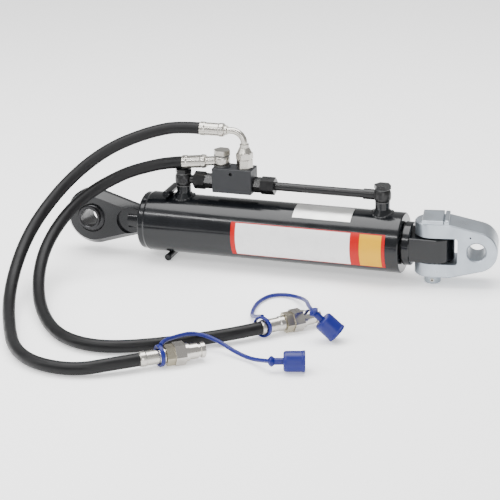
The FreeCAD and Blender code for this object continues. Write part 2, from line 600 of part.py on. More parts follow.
seats, check_springs = [], []
for side in ("base", "rod"):
    deep = "0 - adapter_tail"
    seat = ring(f"check_seat_{side}", along(side, deep), along(side, deep + " - seat_t"),
                "seat_bore_r", "main_bore_r - thread_fit")
    seats.append(place(seat, z=RING_Z))
    nose = "0 - adapter_tail - poppet_nose"
    place(turned(f"check_poppet_{side}", [
        (along(side, nose), "0"), (along(side, nose), "poppet_tip_r"),
        (along(side, "poppet_gap - adapter_tail"), "poppet_r"),
        (along(side, "poppet_gap - adapter_tail + poppet_length"), "poppet_r"),
        (along(side, "poppet_gap - adapter_tail + poppet_length"), "0")]), z=RING_Z)
    spring = ring(f"check_spring_{side}", along(side, "poppet_gap - adapter_tail + poppet_length"),
                  along(side, "chamber - adapter_tail"), "spring_inner_r", "spring_outer_r")
    check_springs.append(place(spring, z=RING_Z))
group("check_seats", seats)
group("check_springs", check_springs)
place(turned("pilot_piston", [
    ("block_x - pilot_length/2 - pilot_nose", "0"), ("block_x - pilot_length/2 - pilot_nose", "pilot_nose_r"),
    ("block_x - pilot_length/2", "pilot_nose_r"), ("block_x - pilot_length/2", "main_bore_r - running_fit"),
    ("block_x + pilot_length/2", "main_bore_r - running_fit"), ("block_x + pilot_length/2", "pilot_nose_r"),
    ("block_x + pilot_length/2 + pilot_nose", "pilot_nose_r"),
    ("block_x + pilot_length/2 + pilot_nose", "0")]), z=RING_Z)

# --- gland, piston and rod ------------------------------------------------------------------------
GLAND_LEFT = TUBE_RIGHT + " - gland_fit - gland_nose"
WIPER_X = GLAND_FACE + " - wiper_t"
SEAL_X = GLAND_FACE + " - wiper_t*2 - seal_t"
GUIDE_X = GLAND_LEFT + " + wiper_t"
OUTER_GROOVE = TUBE_RIGHT + " - gland_fit/2 - ring_groove/2"
SHAFT = "rod_r + running_fit"
turned("gland", [
    (GLAND_LEFT, "rod_r + seal_lip"), (GUIDE_X, "rod_r + seal_lip"), (GUIDE_X, "guide_r"),
    (GUIDE_X + " + guide_t", "guide_r"), (GUIDE_X + " + guide_t", "rod_r + seal_lip"),
    (SEAL_X, "rod_r + seal_lip"), (SEAL_X, "seal_r"), (SEAL_X + " + seal_t", "seal_r"),
    (SEAL_X + " + seal_t", "rod_r + seal_lip"), (WIPER_X, "rod_r + seal_lip"), (WIPER_X, "wiper_r"),
    (GLAND_FACE, "wiper_r"), (GLAND_FACE, "tube_outer_r - gland_edge"),
    (GLAND_FACE + " - gland_edge", "tube_outer_r"), (TUBE_RIGHT, "tube_outer_r"),
    (TUBE_RIGHT, "tube_bore_r - plug_fit"), (OUTER_GROOVE + " + ring_groove", "tube_bore_r - plug_fit"),
    (OUTER_GROOVE + " + ring_groove", "tube_bore_r - ring_depth"),
    (OUTER_GROOVE, "tube_bore_r - ring_depth"), (OUTER_GROOVE, "tube_bore_r - plug_fit"),
    (TUBE_RIGHT + " - gland_fit", "tube_bore_r - plug_fit"),
    (TUBE_RIGHT + " - gland_fit", "gland_nose_r"), (GLAND_LEFT, "gland_nose_r")])
ring("gland_oring", OUTER_GROOVE + " + 0.3", OUTER_GROOVE + " + ring_groove - 0.3",
     "tube_bore_r - ring_depth", "tube_bore_r - plug_fit")
ring("gland_guide_ring", GUIDE_X, GUIDE_X + " + guide_t", SHAFT, "guide_r - plug_fit")
ring("rod_seal", SEAL_X, SEAL_X + " + seal_t", SHAFT, "seal_r - plug_fit")
turned("wiper_seal", [
    (WIPER_X, SHAFT), (GLAND_FACE + " + rest_gap*0.6", SHAFT),
    (GLAND_FACE + " + rest_gap*0.6", "rod_r + rest_gap"), (GLAND_FACE, "rod_r + rest_gap*3"),
    (GLAND_FACE, "wiper_r - plug_fit"), (WIPER_X, "wiper_r - plug_fit")])

SEAL_AT = PISTON_X + " + piston_length/2 - piston_seal_t/2"
BAND_A = PISTON_X + " + piston_band_t"
BAND_B = PISTON_X + " + piston_length - piston_band_t*2"
LAND = "tube_bore_r - seal_lip"
turned("piston", [
    (PISTON_X, "piston_spigot_r + thread_fit"),
    (PISTON_X + " + piston_length", "piston_spigot_r + thread_fit"),
    (PISTON_X + " + piston_length", LAND), (BAND_B + " + piston_band_t", LAND),
    (BAND_B + " + piston_band_t", LAND + " - piston_band_depth"), (BAND_B, LAND + " - piston_band_depth"),
    (BAND_B, LAND), (SEAL_AT + " + piston_seal_t", LAND),
    (SEAL_AT + " + piston_seal_t", LAND + " - piston_seal_depth"),
    (SEAL_AT, LAND + " - piston_seal_depth"), (SEAL_AT, LAND), (BAND_A + " + piston_band_t", LAND),
    (BAND_A + " + piston_band_t", LAND + " - piston_band_depth"), (BAND_A, LAND + " - piston_band_depth"),
    (BAND_A, LAND), (PISTON_X, LAND)])
ring("piston_seal", SEAL_AT, SEAL_AT + " + piston_seal_t", LAND + " - piston_seal_depth + thread_fit",
     "tube_bore_r - running_fit")
group("piston_guide_bands", [
    ring(name, start, start + " + piston_band_t", LAND + " - piston_band_depth + thread_fit",
         "tube_bore_r - running_fit") for name, start in (("band_a", BAND_A), ("band_b", BAND_B))])
lock_nut = new_body("piston_nut")
face = polygon(new_sketch(lock_nut, "YZ_Plane", PISTON_X + " - piston_nut_t"), hexagon("piston_nut_hex"))
circle(face, "piston_spigot_r + thread_fit")
pad(lock_nut, face, "piston_nut_t")

STEM_END = NECK_FACE + " + stem_depth"
ROD_TAIL = PISTON_X + " - piston_nut_t - rod_tail"
turned("piston_rod", [
    (ROD_TAIL, "0"), (STEM_END, "0"), (STEM_END, "stem_r"), (NECK_FACE, "stem_r"), (NECK_FACE, "rod_r"),
    (PISTON_X + " + piston_length", "rod_r"), (PISTON_X + " + piston_length", "piston_spigot_r"),
    (ROD_TAIL, "piston_spigot_r")])

# --- rod end: round neck and the tongue that carries the fork ------------------------------------
tongue = new_body("rod_end")
plan = new_sketch(tongue, "XY_Plane")
tip_x = math.sqrt(number("tongue_end_r") ** 2 - number("tongue_half_width") ** 2)
root_x, half_w = number("tongue_reach"), number("tongue_half_width")
lean = math.degrees(math.atan2(half_w, tip_x))
nose = arc_edge(plan, "tongue_end_r", -lean, lean)
top = line_edge(plan, (tip_x, half_w), (-root_x, half_w))
root = line_edge(plan, (-root_x, half_w), (-root_x, -half_w))
low = line_edge(plan, (-root_x, -half_w), (tip_x, -half_w))
for first, second in ((nose, top), (top, root), (root, low), (low, nose)):
    join(plan, first, 2, second, 1)
pin_point(plan, top, 1, None, "tongue_half_width")
pin_point(plan, top, 2, minus("tongue_reach"), "tongue_half_width")
pin_point(plan, low, 1, minus("tongue_reach"), minus("tongue_half_width"))
pin_point(plan, low, 2, None, minus("tongue_half_width"))
pad(tongue, plan, "tongue_height", midplane=True)
dress(tongue, "Chamfer", "tongue_edge", lambda edge: abs(abs(edge.CenterOfMass.z)
      - number("tongue_height/2")) < 0.01 and edge.CenterOfMass.x > -root_x + 0.01)
spin(tongue, polygon(new_sketch(tongue, "XZ_Plane"), [
    (minus("tongue_reach + neck_length"), "0"), (minus("tongue_reach"), "0"),
    (minus("tongue_reach"), "neck_r - gland_edge"), (minus("tongue_reach + gland_edge"), "neck_r"),
    (minus("tongue_reach + neck_length - gland_edge"), "neck_r"),
    (minus("tongue_reach + neck_length"), "neck_r - gland_edge")]))
cut(tongue, circle(new_sketch(tongue, "YZ_Plane", minus("tongue_reach + neck_length")),
                   "stem_r + thread_fit"), "stem_depth + thread_fit", reverse=True)
cut(tongue, circle(new_sketch(tongue, "XY_Plane"), "bush_r"), "tongue_height*2", midplane=True)
place(tongue, PIN_X)
place(ring("pin_bush", minus("tongue_height/2"), "tongue_height/2", "pin_r + running_fit",
           "bush_r - thread_fit", "Z"), PIN_X)

# --- fork, its pin and the roll pin --------------------------------------------------------------
fork_turn = Rotation(Vector(0, 0, 1), SIZES["fork_turn"])
fork = new_body("fork")
side_view = new_sketch(fork, "XZ_Plane")
reach, tall, shoulder = number("fork_reach"), number("fork_half_height"), number("shoulder_x")
back, end_r = number("fork_width/2"), number("fork_end_r")
gap = math.hypot(reach - shoulder, tall)
touch = math.degrees(math.atan2(tall, shoulder - reach) - math.acos(end_r / gap))
tx, tz = reach + end_r * math.cos(math.radians(touch)), end_r * math.sin(math.radians(touch))
nose = arc_edge(side_view, "fork_end_r", -touch, touch, "fork_reach")
lines = [line_edge(side_view, a, b) for a, b in (
    ((tx, tz), (shoulder, tall)), ((shoulder, tall), (-back, tall)), ((-back, tall), (-back, -tall)),
    ((-back, -tall), (shoulder, -tall)), ((shoulder, -tall), (tx, -tz)))]
for first, second in zip(lines, lines[1:]):
    join(side_view, first, 2, second, 1)
side_view.addConstraint(Sketcher.Constraint("Tangent", nose, 2, lines[0], 1))
side_view.addConstraint(Sketcher.Constraint("Tangent", lines[-1], 2, nose, 1))
for edge, x, z in ((lines[1], "shoulder_x", "fork_half_height"),
                   (lines[2], minus("fork_width/2"), "fork_half_height"),
                   (lines[3], minus("fork_width/2"), minus("fork_half_height")),
                   (lines[4], "shoulder_x", minus("fork_half_height"))):
    pin_point(side_view, edge, 1, x, z)
pad(fork, side_view, "fork_width", midplane=True)
upright = number("fork_half_height*2")
dress(fork, "Fillet", "fork_width*0.498", lambda edge: abs(edge.Length - upright) < 0.01
      and edge.BoundBox.XMax < -back + 0.01)
dress(fork, "Chamfer", "fork_edge", lambda edge: abs(abs(edge.CenterOfMass.y) - back) < 0.01
      and edge.CenterOfMass.x > 0.1 and edge.BoundBox.YLength < 0.01)
window = polygon(new_sketch(fork, "XZ_Plane"), [
    (minus("fork_width"), minus("slot_half_height")), ("slot_end", minus("slot_half_height")),
    ("slot_end", "slot_half_height"), (minus("fork_width"), "slot_half_height")])
cut(fork, window, "fork_width*2", midplane=True)
slot_end = number("slot_end")
dress(fork, "Fillet", "slot_round", lambda edge: abs(edge.CenterOfMass.x - slot_end) < 0.01
      and edge.BoundBox.YLength > back)
cut(fork, circle(new_sketch(fork, "XY_Plane"), "pin_r + thread_fit"), "fork_half_height*4", midplane=True)
cut(fork, circle(new_sketch(fork, "XZ_Plane"), "pin_bore_r", "fork_reach"), "fork_width*2", midplane=True)
dress(fork, "Chamfer", "fork_edge", lambda edge: at_radius(edge, number("pin_bore_r")))
cut(fork, circle(new_sketch(fork, "XZ_Plane", "fork_width/2"), "grease_hole_r",
                 "grease_hole_x", "grease_hole_z"), "grease_hole_depth")
lip = polygon(new_sketch(fork, "XZ_Plane"), [
    ("lip_x", "fork_half_height - lip_t/2"), ("lip_x + lip_t", "fork_half_height - lip_t/2"),
    ("lip_x + lip_t", "fork_half_height + lip_height"), ("lip_x", "fork_half_height + lip_height")])
pad(fork, lip, "fork_width - fork_edge*2", midplane=True)
lip_top = number("fork_half_height + lip_height")
dress(fork, "Fillet", "lip_round", lambda edge: abs(edge.CenterOfMass.z - lip_top) < 0.01)
place(fork, PIN_X, turn=fork_turn)

HEAD_Z = "fork_half_height"
pin = turned("fork_pin", [
    ("floor_z", "0"), ("floor_z", "pin_r - pin_edge"), ("floor_z + pin_edge", "pin_r"), (HEAD_Z, "pin_r"),
    (HEAD_Z, "0")], "Z")
plate = polygon(new_sketch(pin, "XY_Plane", HEAD_Z), [
    (minus("head_length/2"), minus("head_width/2")), ("head_length/2", minus("head_width/2")),
    ("head_length/2", "head_width/2"), (minus("head_length/2"), "head_width/2")])
pad(pin, plate, "head_height")
plate_top = number("fork_half_height + head_height")
dress(pin, "Chamfer", "head_edge", lambda edge: edge.BoundBox.ZMin > plate_top - 0.01)
cut(pin, circle(new_sketch(pin, "XZ_Plane"), "roll_pin_r + plug_fit", "0", "roll_pin_z"), "pin_r*3",
    midplane=True)
place(pin, PIN_X, turn=fork_turn)
place(ring("roll_pin", minus("roll_pin_length/2"), "roll_pin_length/2", "roll_pin_bore_r", "roll_pin_r",
           "Y"), PIN_X, "0", "roll_pin_z", turn=fork_turn)

# --- silver hose fittings on the valve block -------------------------------------------------------
SILVER_RING = BLOCK_TOP + " + silver_washer_t"
SILVER_UPPER = SILVER_RING + " + silver_ring_height"
SILVER_HEAD = SILVER_UPPER + " + silver_upper_t"
hose_banjo = banjo("hose_banjo", "silver_ring_height", "silver_ring_r - ring_bulge")
SILVER_MID = SILVER_RING + " + silver_ring_height/2"
dip = Rotation(Vector(0, 1, 0), 180 - SIZES["stem_dip"])
silver_stem = doc.addObject("Part::Cylinder", "hose_banjo_stem")
silver_stem.setExpression("Radius", linked("stem_end_r"))
silver_stem.setExpression("Height", linked("stem_length"))
place(silver_stem, z=minus(SILVER_MID + " - stem_z"), turn=Rotation(Vector(0, 1, 0), -90 - SIZES["stem_dip"]))
silver_bore = doc.addObject("Part::Cylinder", "hose_banjo_bore")
silver_bore.setExpression("Radius", linked("top_thread_r + thread_fit"))
silver_bore.setExpression("Height", linked("silver_ring_height*2"))
place(silver_bore, z=minus("silver_ring_height"))
silver_drill = doc.addObject("Part::Cylinder", "hose_banjo_drill")
silver_drill.setExpression("Radius", linked("cross_drill_r"))
silver_drill.setExpression("Height", linked("stem_length*1.2"))
place(silver_drill, z=minus(SILVER_MID + " - stem_z"),
      turn=Rotation(Vector(0, 1, 0), -90 - SIZES["stem_dip"]))
spot_face = doc.addObject("Part::Cylinder", "hose_banjo_spot_face")
spot_face.setExpression("Radius", linked("silver_washer_r + 0.2"))
spot_face.setExpression("Height", linked("silver_ring_height"))
place(spot_face, z=minus("silver_ring_height*1.5"))
fused = doc.addObject("Part::MultiFuse", "hose_banjo_blank")
fused.Shapes = [hose_banjo, silver_stem]
bores = doc.addObject("Part::MultiFuse", "hose_banjo_bores")
bores.Shapes = [silver_bore, silver_drill, spot_face]
silver = doc.addObject("Part::Cut", "hose_banjo_fitting")
silver.Base = fused
silver.Tool = bores
finished.pop("hose_banjo")
hose_banjo.Label = "hose_banjo_ring"
place(silver, "base_hose_x", "0", SILVER_MID)
doc.recompute()
keep("hose_banjo", silver)
group("hose_banjo_washers", [
    place(ring(name, foot, foot + " + " + thick, "top_thread_r + thread_fit", radius, "Z"), "base_hose_x")
    for name, foot, thick, radius in (("hose_washer_lower", BLOCK_TOP, "silver_washer_t", "silver_washer_r"),
                                      ("hose_washer_upper", SILVER_UPPER, "silver_upper_t", "silver_ring_r"))])
banjo_bolt("hose_banjo_bolt", BLOCK_TOP + " - top_thread_depth + 0.5", SILVER_HEAD, "silver_hex", "silver_head",
           SILVER_MID, "base_hose_x")


def ferrule(label, start, root_r):
    """A crimped hose shell along local X, with bands at both ends and a flared lip."""
    shell = turned(label, [
        (start, root_r), (start, "ferrule_r - 1.6"), (start + " + 1.4", "ferrule_r - 0.5"),
        (start + " + 4", "ferrule_r"), (start + " + 6.5", "ferrule_r"), (start + " + 8", "ferrule_r - 0.7"),
        (start + " + ferrule_length - 8", "ferrule_r - 0.7"), (start + " + ferrule_length - 6.5", "ferrule_r"),
        (start + " + ferrule_length - 0.8", "ferrule_r"), (start + " + ferrule_length", "ferrule_r - 0.8"),
        (start + " + ferrule_length", root_r)])
    return shell


dipped = ferrule("hose_ferrule_2", "stem_length", "cross_drill_r")
place(dipped, "base_hose_x", "0", "stem_z", turn=dip)

TEE_TOP = BLOCK_TOP + " + tee_height"
tee = turned("elbow_adapter", [
    (BLOCK_TOP + " - top_thread_depth + 0.5", "cross_drill_r"),
    (TEE_TOP + " + swivel_flat", "cross_drill_r"), (TEE_TOP + " + swivel_flat", "tee_spigot_r"),
    (TEE_TOP, "tee_spigot_r"), (TEE_TOP, "tee_hex/2 - 1"), (TEE_TOP + " - 1", "tee_hex/2"),
    (BLOCK_TOP, "tee_hex/2"), (BLOCK_TOP, "top_thread_r"),
    (BLOCK_TOP + " - top_thread_depth + 0.5", "top_thread_r")], "Z")
base_hex = polygon(new_sketch(tee, "XY_Plane", BLOCK_TOP), hexagon("tee_hex"))
circle(base_hex, "tee_spigot_r")
pad(tee, base_hex, "tee_height - 1")
place(tee, "rod_hose_x", turn=Rotation(Vector(0, 0, 1), 12))
SWIVEL_TOP = TEE_TOP + " + swivel_flat + swivel_cone"
swivel = turned("swivel_nut", [
    (TEE_TOP, "tee_spigot_r + thread_fit"), (TEE_TOP + " + swivel_flat + 0.1", "tee_spigot_r + thread_fit"),
    (TEE_TOP + " + swivel_flat + 0.1", "elbow_r + plug_fit"), (SWIVEL_TOP, "elbow_r + plug_fit"),
    (SWIVEL_TOP, "swivel_neck_r"), (TEE_TOP + " + swivel_flat + 1", "swivel_hex/2"),
    (TEE_TOP, "swivel_hex/2")], "Z")
swivel_face = polygon(new_sketch(swivel, "XY_Plane", TEE_TOP), hexagon("swivel_hex"))
circle(swivel_face, "tee_spigot_r + 1")
pad(swivel, swivel_face, "swivel_flat")
place(swivel, "rod_hose_x", turn=Rotation(Vector(0, 0, 1), 25))

elbow = new_body("elbow_tube")
ELBOW_FOOT = TEE_TOP + " + swivel_flat + 0.3"
pad(elbow, circle(new_sketch(elbow, "XY_Plane", ELBOW_FOOT), "elbow_r"),
    "elbow_axis_z - elbow_bend - (" + ELBOW_FOOT + ")")
knee = circle(new_sketch(elbow, "XY_Plane", "elbow_axis_z - elbow_bend"), "elbow_r")
bend_r = number("elbow_bend")
hinge_line = knee.addGeometry(Part.LineSegment(Vector(-bend_r, -10, 0), Vector(-bend_r, 10, 0)), True)
pin_point(knee, hinge_line, 1, minus("elbow_bend"), minus("elbow_bend"))
pin_point(knee, hinge_line, 2, minus("elbow_bend"), "elbow_bend")
sweep = spin(elbow, knee, "Axis0", angle=90.0)
if elbow.Shape.BoundBox.ZMax < number("elbow_axis_z"):
    sweep.Reversed = True
    doc.recompute()
pad(elbow, circle(new_sketch(elbow, "YZ_Plane", minus("elbow_bend")), "elbow_r", "0", "elbow_axis_z"),
    "elbow_run + elbow_shoulder", reverse=True)
spin(elbow, polygon(new_sketch(elbow, "XZ_Plane"), [
    ("0", SWIVEL_TOP), ("elbow_collar_r", SWIVEL_TOP), ("elbow_collar_r", SWIVEL_TOP + " + elbow_collar"),
    ("0", SWIVEL_TOP + " + elbow_collar")]), "V_Axis")
pad(elbow, circle(new_sketch(elbow, "YZ_Plane", minus("elbow_bend + elbow_run")), "elbow_collar_r", "0",
                  "elbow_axis_z"), "elbow_shoulder", reverse=True)
place(elbow, "rod_hose_x")
upper_ferrule = ferrule("hose_ferrule_1", "elbow_bend + elbow_run + elbow_shoulder", "cross_drill_r")
place(upper_ferrule, "rod_hose_x", "0", "elbow_axis_z", turn=Rotation(Vector(0, 0, 1), 180))

# --- quick couplers: each is built along local X from the end of its hose ---------------------------
COUPLER_Z = "floor_z + body_hex/2"
NUT_A, NUT_B = "tail_length", "tail_length + tail_nut"
BODY_B = NUT_B + " + body_hex_t"
NOSE_A = BODY_B + " + body_collar"
NOSE_B = NOSE_A + " + nose_length"
SEAT_A = NOSE_A + " + valve_seat"
SEAT_B = SEAT_A + " + valve_seat"
tails, tail_nuts = [], []
for mark in ("1", "2"):
    spot = (f"coupler_{mark}_x", f"coupler_{mark}_y", f"{COUPLER_Z} + coupler_{mark}_rise")
    heading = Rotation(Vector(0, 0, 1), SIZES[f"coupler_{mark}_turn"])
    tail = turned(f"coupler_tail_{mark}", [
        ("0", "cross_drill_r"), ("0", "ferrule_r - 1.2"), ("1.4", "ferrule_r - 0.2"),
        ("4", "ferrule_r + 0.2"), ("7", "ferrule_r + 0.2"), ("8.5", "ferrule_r - 0.5"),
        ("tail_length - 8.5", "ferrule_r - 0.5"), ("tail_length - 7", "ferrule_r + 0.2"),
        ("tail_length - 0.8", "ferrule_r + 0.2"), ("tail_length", "ferrule_r - 0.6"),
        ("tail_length", "cross_drill_r")])
    place(tail, *spot, turn=heading)
    tails.append(tail)
    nut = new_body(f"coupler_nut_{mark}")
    nut_face = polygon(new_sketch(nut, "YZ_Plane", NUT_A), hexagon("tail_nut_hex"))
    circle(nut_face, "cross_drill_r + 1")
    pad(nut, nut_face, "tail_nut")
    place(nut, *spot, turn=heading)
    tail_nuts.append(nut)
    shell = turned(f"coupler_body_{mark}", [
        (NUT_B, "valve_stem_r + coupler_fit"), (NUT_B + " + guide_web", "valve_stem_r + coupler_fit"),
        (NUT_B + " + guide_web", "body_bore_r"), (SEAT_A, "body_bore_r"), (SEAT_A, "nose_bore_r - 2"),
        (SEAT_B, "nose_bore_r - 2"), (SEAT_B, "nose_bore_r"), (NOSE_B, "nose_bore_r"),
        (NOSE_B, "nose_r - 1"), (NOSE_B + " - 1", "nose_r"), (NOSE_B + " - nose_rim", "nose_r"),
        (NOSE_B + " - nose_rim", "nose_groove_r"), (NOSE_B + " - nose_rim - nose_groove", "nose_groove_r"),
        (NOSE_B + " - nose_rim - nose_groove", "nose_r"), (NOSE_A, "nose_r"), (NOSE_A, "body_collar_r"),
        (BODY_B, "body_collar_r"), (BODY_B, "body_hex/2 - 0.8"), (NUT_B, "body_hex/2 - 0.8")])
    flats = polygon(new_sketch(shell, "YZ_Plane", NUT_B), hexagon("body_hex"))
    circle(flats, "body_bore_r + 2")
    pad(shell, flats, "body_hex_t")
    place(shell, *spot, turn=heading)
    stem = "valve_stem_r"
    back_of_head = SEAT_A + " - valve_head"
    place(turned(f"coupler_poppet_{mark}", [
        (NUT_B + " + 0.5", "0"), (NUT_B + " + 0.5", stem), (back_of_head, stem),
        (back_of_head, "valve_head_r"), (SEAT_A + " - valve_head/2", "valve_head_r"),
        (SEAT_A, "nose_bore_r - 2.4"), (SEAT_B + " + 4", "nose_bore_r - 2.6"), (SEAT_B + " + 6", "stem_tip_r"),
        (SEAT_B + " + 6", "0")]), *spot, turn=heading)
    place(ring(f"coupler_spring_{mark}", NUT_B + " + guide_web", back_of_head, "valve_stem_r + 1",
               "valve_stem_r + 1 + coupler_spring_wire*2"), *spot, turn=heading)
group("coupler_tails", tails)
group("coupler_nuts", tail_nuts)

# --- dust caps with their knobs ---------------------------------------------------------------------
for mark in ("1", "2"):
    cap = turned(f"dust_cap_{mark}", [
        (minus("cap_knob"), "0"), (minus("cap_knob"), "cap_neck_r - 0.8"),
        (minus("cap_knob - 2"), "cap_knob_r - 1"), (minus("cap_knob - 4"), "cap_knob_r"),
        (minus("cap_knob - 6"), "cap_knob_r - 1"), (minus("cap_knob - 8"), "cap_neck_r"),
        ("0", "cap_neck_r"), ("0", "cap_r - 2"),
        ("1.5", "cap_r - 0.4"), ("4", "cap_r"), ("cap_length - 4", "cap_r"),
        ("cap_length - 3", "cap_r + 0.5"), ("cap_length - 0.6", "cap_r + 0.5"), ("cap_length", "cap_r"),
        ("cap_length", "cap_r - cap_wall"), ("cap_end_t", "cap_r - cap_wall"), ("cap_end_t", "0")])
    heading = (Rotation(Vector(0, 0, 1), SIZES["cap_1_turn"]) if mark == "1"
               else Rotation(Vector(0, 0, 1), SIZES["cap_2_turn"])
               * Rotation(Vector(0, 1, 0), SIZES["cap_2_dip"]))
    place(cap, f"cap_{mark}_x", f"cap_{mark}_y", f"cap_{mark}_z", turn=heading)

# --- hoses and tethers -------------------------------------------------------------------------------
def heading_of(angle_deg):
    return math.cos(math.radians(angle_deg)), math.sin(math.radians(angle_deg))


def behind(mark, distance):
    """A point on a coupler's axis, behind the end of its hose."""
    c, s = heading_of(SIZES[f"coupler_{mark}_turn"])
    return (SIZES[f"coupler_{mark}_x"] - c * distance, SIZES[f"coupler_{mark}_y"] - s * distance,
            number(f"{COUPLER_Z} + coupler_{mark}_rise"))


def cord(label, points, radius):
    """A plain tube along straight runs joined by tangent arcs."""
    points = [Vector(*point) for point in points]
    edges, start, radii = [], points[0], []
    for before, corner, after in zip(points, points[1:], points[2:]):
        way_in, way_out = (corner - before).normalize(), (after - corner).normalize()
        turn = way_in.getAngle(way_out)
        setback = 0.45 * min((corner - before).Length, (after - corner).Length)
        bend_r = setback / math.tan(turn / 2)
        radii.append(bend_r)
        arc_in, arc_out = corner - way_in * setback, corner + way_out * setback
        inward = (way_out - way_in).normalize()
        middle = corner + inward * (bend_r / math.cos(turn / 2) - bend_r)
        edges.append(Part.LineSegment(start, arc_in).toShape())
        edges.append(Part.Arc(arc_in, middle, arc_out).toShape())
        start = arc_out
    edges.append(Part.LineSegment(start, points[-1]).toShape())
    route = Part.Wire(edges)
    face = Part.Circle(points[0], points[1] - points[0], radius).toShape()
    solid = route.makePipeShell([Part.Wire([face])], True, False)
    solid = Part.Solid(solid) if solid.ShapeType == "Shell" else solid
    expected = math.pi * radius ** 2 * route.Length
    print(f"{label}: length {route.Length:.1f}, volume ratio {solid.Volume / expected:.4f}, "
          f"tightest bend {min(radii):.1f}, floor clearance {solid.BoundBox.ZMin - SIZES['floor_z']:.2f}")
    item = doc.addObject("Part::Feature", label)
    item.Shape = solid
    return keep(label, item)


top_z = SIZES["elbow_axis_z"]
hose_1_x = number("rod_hose_x - elbow_bend - elbow_run - elbow_shoulder - ferrule_length")
lie = number("floor_z + hose_r") + 0.9
cord("hose_1", [
    (hose_1_x, 0, top_z), (hose_1_x - 34, 0, top_z), (101, -6, 136.5), (73, -16, 127.5), (47, -28, 116.5),
    (22, -43, 101), (-1, -64, 81), (-20, -92, 58), (-35, -133, 29), (-38, -176, 3), (-30, -227, -21),
    (-13, -278, -37), (14, -334, lie), (43.7, -388, lie), (76, -422, lie), (114.5, -438.5, lie), (156, -437, lie),
    behind("1", 37), behind("1", 0)], SIZES["hose_r"])
dip_c, dip_s = heading_of(SIZES["stem_dip"])
far = number("stem_length + ferrule_length")
start_2 = (SIZES["base_hose_x"] - dip_c * far, 0, SIZES["stem_z"] - dip_s * far)
cord("hose_2", [
    start_2, (start_2[0] - dip_c * 24, 0, start_2[2] - dip_s * 24), (86, -9, 82.5), (61, -20, 75.5),
    (40, -34, 66), (22, -49, 56), (5, -69, 43), (-7, -93, 28), (-14, -122, 11), (-14, -156, -6),
    (-5, -195, -23), (15, -242, -37.5), (46, -292, lie), (80, -333, lie), (112, -354, lie), (146, -361.5, lie),
    (180, -355, lie), (222, -334, lie), (265, -306, lie), behind("2", 36), behind("2", 0)], SIZES["hose_r"])


def on_coupler(mark, distance, side=0.0):
    """A point beside a coupler's axis: along it and to its left."""
    c, s = heading_of(SIZES[f"coupler_{mark}_turn"])
    return (SIZES[f"coupler_{mark}_x"] + c * distance - s * side,
            SIZES[f"coupler_{mark}_y"] + s * distance + c * side)


LOOP_INNER = "ferrule_r + 1.4"
loops = []
for mark in ("1", "2"):
    loop = turned(f"tether_loop_{mark}", [
        (minus("tether_r"), f"{LOOP_INNER} + 0.9"), (minus("tether_r - 0.9"), LOOP_INNER),
        ("tether_r - 0.9", LOOP_INNER), ("tether_r", f"{LOOP_INNER} + 0.9"),
        ("tether_r", f"{LOOP_INNER} + 2.1"), ("tether_r - 0.9", f"{LOOP_INNER} + 3"),
        (minus("tether_r - 0.9"), f"{LOOP_INNER} + 3"), (minus("tether_r"), f"{LOOP_INNER} + 2.1")])
    spot = on_coupler(mark, SIZES[f"loop_{mark}_at"])
    lean = SIZES["loop_lean"] if mark == "2" else 6.0
    loop.Placement = Placement(Vector(*spot, number(f"floor_z + ferrule_r + 4.6 + coupler_{mark}_rise")),
                               Rotation(Vector(0, 0, 1), SIZES[f"coupler_{mark}_turn"] + lean))
    loops.append(loop)
loop_out = number(LOOP_INNER) + 1.6
ring_1, ring_2 = [loop.Placement.Base for loop in loops]
group("tether_loops", loops)
c1, s1 = heading_of(SIZES["cap_1_turn"])
knob = number("cap_knob") - 2
knob_1 = (SIZES["cap_1_x"] - c1 * knob, SIZES["cap_1_y"] - s1 * knob, SIZES["cap_1_z"])
c2, s2 = heading_of(SIZES["cap_2_turn"])
level, drop = heading_of(SIZES["cap_2_dip"])
knob_2 = (SIZES["cap_2_x"] - c2 * level * knob, SIZES["cap_2_y"] - s2 * level * knob,
          SIZES["cap_2_z"] + drop * knob)
tether_low = number("floor_z + tether_r") + 0.4
cord("tether_1", [
    (ring_1.x, ring_1.y + 4, ring_1.z + loop_out), (ring_1.x - 3, ring_1.y + 20, ring_1.z + loop_out - 1),
    (249, -335, -29), (261, -316, -31), (279, -311, -35), (298, -314, -40), (318, -324, -45),
    (338, -333, -48), (353, -341, -47), (366, -350, -43), knob_1],
    SIZES["tether_r"])
cord("tether_2", [
    (ring_2.x - 2, ring_2.y + 5, ring_2.z + loop_out - 0.5), (324, -234, -34), (312, -216, -42),
    (302, -196, tether_low), (296, -168, tether_low), (296, -140, tether_low), (305, -117, tether_low),
    (324, -110, tether_low), (345, -122, -47), (361, -146, -40), (374, -178, -30), (386, -213, -20),
    knob_2], SIZES["tether_r"])


# --- export ---------------------------------------------------------------------------------
doc.recompute()
for item in doc.Objects:
    trouble = {"Invalid", "Error"} & set(item.State)
    if trouble:
        raise ValueError(f"{item.Label}: {trouble}")
for label, item in finished.items():
    shape = item.Shape
    if shape.isNull() or not shape.isValid() or not shape.Solids:
        raise ValueError(f"{label}: its shape is not a valid solid")
    shape.exportStep(f"parts/{label}.step")
print(len(finished), "sub-parts written")
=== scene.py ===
"""Looks for a hydraulic tractor top link: cylinder, ball eye, swivelling fork, valve block, two hoses."""

import math

import bmesh
import bpy
from mathutils import Matrix, Vector


